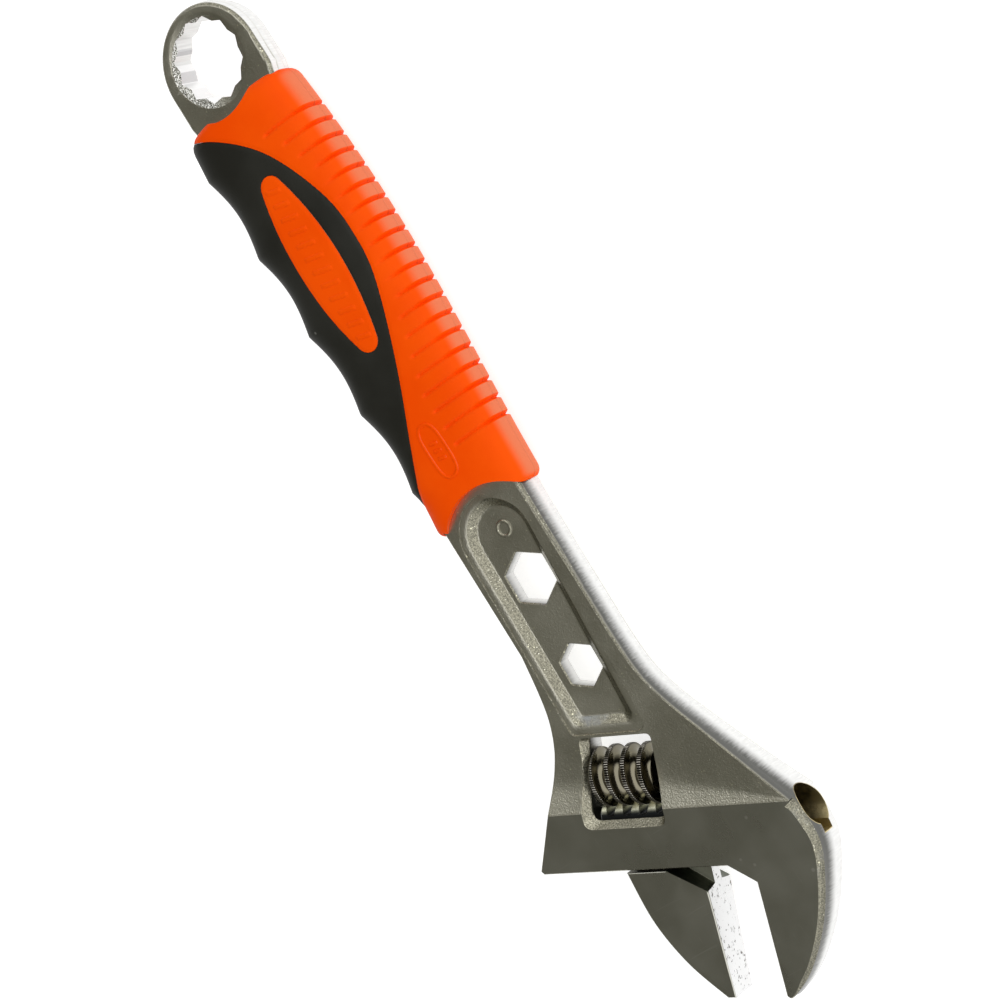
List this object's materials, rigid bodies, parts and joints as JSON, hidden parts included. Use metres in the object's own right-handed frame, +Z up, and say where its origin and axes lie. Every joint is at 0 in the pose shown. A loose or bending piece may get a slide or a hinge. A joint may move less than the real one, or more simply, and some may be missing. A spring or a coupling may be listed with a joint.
{
  "type": "adjustable wrench",
  "caption": "Adjustable wrench with a sliding lower jaw driven by a knurled worm, a ring end, hex holes in the neck and a two-colour soft grip.",
  "frame": {"origin": "bottom centre of the bounding box at rest, the wrench lying flat on its back with the jaws 12.5 mm open", "axes": "+X along the handle from the ring to the jaws, +Y towards the fixed-jaw side, +Z up out of the front face"},
  "size_m": [0.26, 0.0692, 0.0156],
  "materials": {
    "forged_steel": "satin plated forging, ground bright on the head",
    "ground_steel": "fine ground, satin plated",
    "worm_steel": "polished grooves and knurled crests",
    "pin_steel": "plain turned",
    "spring_steel": "drawn wire",
    "orange_rubber": "matte moulded",
    "black_rubber": "matte moulded"
  },
  "bodies": {
    "handle": {"body": "forged_steel", "grip_sleeve": "orange_rubber", "grip_inlay": "black_rubber", "worm_pin": "pin_steel", "worm_spring": "spring_steel"},
    "jaw": {"movable_jaw": "ground_steel"},
    "worm": {"worm": "worm_steel"}
  },
  "joints": [
    {"name": "jaw_slide", "type": "slide", "parent": "handle", "child": "jaw", "axis": [-0.3827, -0.9239, 0], "range_m": [-0.0123, 0.0175]},
    {"name": "worm_spin", "type": "hinge", "parent": "handle", "child": "worm", "pos_m": [0.0708, -0.00015, 0.0078], "axis": [0.3827, 0.9239, 0], "range_deg": [-1031, 1467]}
  ],
  "couplings": [
    {"joint": "worm_spin", "follows": "jaw_slide", "rad_per_m": 1461.2}
  ]
}
